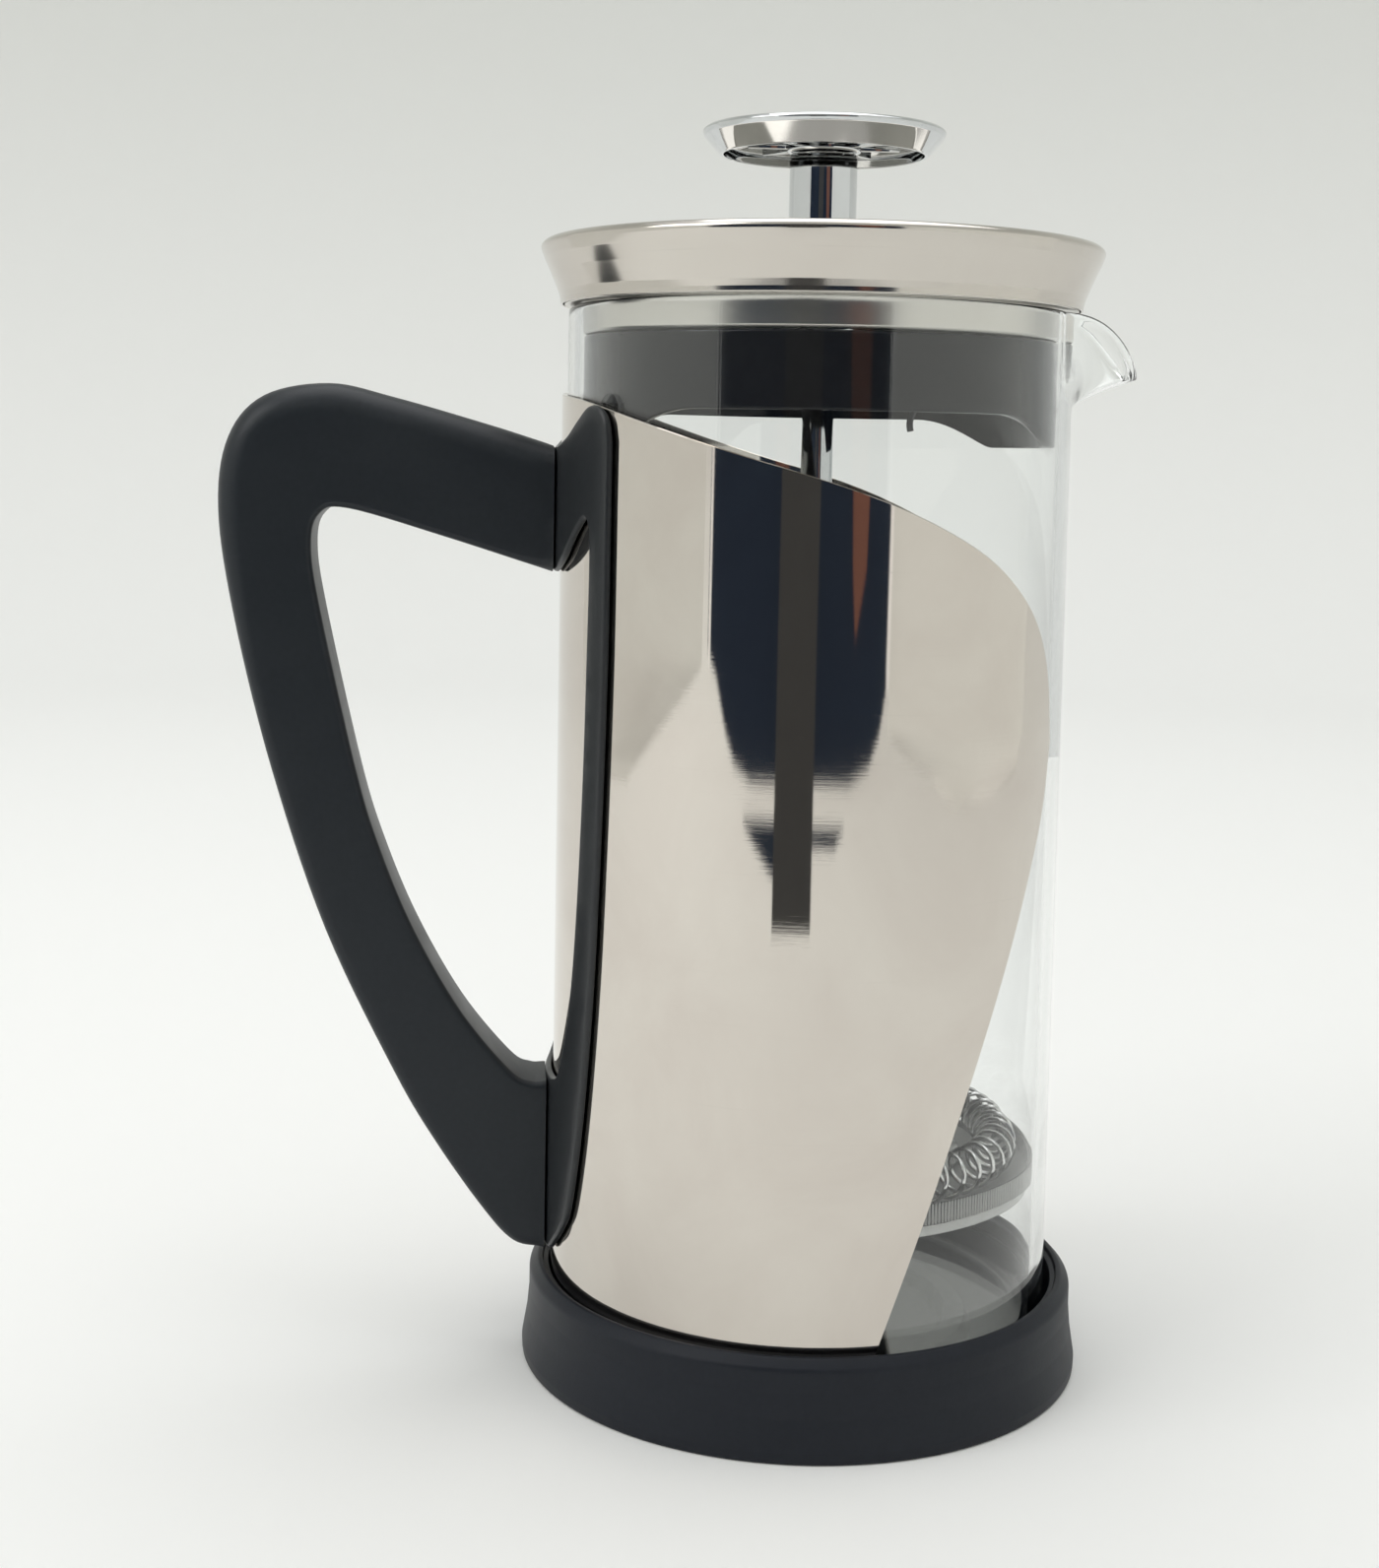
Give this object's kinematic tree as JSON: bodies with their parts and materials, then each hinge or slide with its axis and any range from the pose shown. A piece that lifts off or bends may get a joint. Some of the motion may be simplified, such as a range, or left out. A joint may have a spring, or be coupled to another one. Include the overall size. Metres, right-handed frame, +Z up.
{
  "type": "french press",
  "caption": "Coffee press with a glass beaker in a wrap-round polished steel sleeve, black plastic base and loop handle, steel lid and a plunger with a spring-edged mesh filter.",
  "frame": {"origin": "centre of the base's underside, on the beaker's axis", "axes": "+Z up along the beaker and the plunger rod, the handle along -X, the spout along +X"},
  "size_m": [0.1737, 0.108, 0.2358],
  "materials": {
    "black_plastic": "moulded black plastic with a fine satin texture",
    "polished_steel": "polished stainless steel with fine hairline scratches",
    "bright_chrome": "bright chrome plate",
    "clear_glass": "clear borosilicate glass, fire polished",
    "steel_mesh": "woven stainless steel mesh",
    "zinc_screw": "zinc plated steel"
  },
  "bodies": {
    "carrier": {"base_ring": "black_plastic", "steel_sleeve": "polished_steel", "handle_frame": "black_plastic", "handle_grip": "black_plastic", "handle_screw_upper": "zinc_screw", "handle_screw_lower": "zinc_screw", "base_screw_1": "zinc_screw", "base_screw_2": "zinc_screw", "base_screw_3": "zinc_screw"},
    "beaker": {"glass_beaker": "clear_glass"},
    "lid_seat": {"lid_neck": "polished_steel"},
    "lid": {"lid_shell": "polished_steel", "lid_core": "black_plastic", "lid_skirt": "black_plastic", "rod_bush": "bright_chrome", "bush_nut": "bright_chrome"},
    "plunger": {"plunger_rod": "bright_chrome", "filter_hub": "bright_chrome", "spiral_plate": "polished_steel", "edge_spring": "bright_chrome", "mesh_screen": "steel_mesh", "cross_plate": "polished_steel", "filter_nut": "bright_chrome"},
    "knob": {"knob_cap": "bright_chrome", "knob_insert": "bright_chrome", "knob_stem": "bright_chrome"}
  },
  "joints": [
    {"name": "glass_lift", "type": "slide", "parent": "carrier", "child": "beaker", "axis": [0, 0, 1], "range_m": [0, 0.19]},
    {"name": "lid_lift", "type": "slide", "parent": "beaker", "child": "lid_seat", "axis": [0, 0, 1], "range_m": [0, 0.17]},
    {"name": "lid_turn", "type": "hinge", "parent": "lid_seat", "child": "lid", "pos_m": [0, 0, 0.2], "axis": [0, 0, 1], "continuous": true},
    {"name": "plunger_slide", "type": "slide", "parent": "lid", "child": "plunger", "axis": [0, 0, 1], "range_m": [0, 0.13]},
    {"name": "knob_turn", "type": "hinge", "parent": "plunger", "child": "knob", "pos_m": [0, 0, 0.23], "axis": [0, 0, 1], "continuous": true}
  ]
}
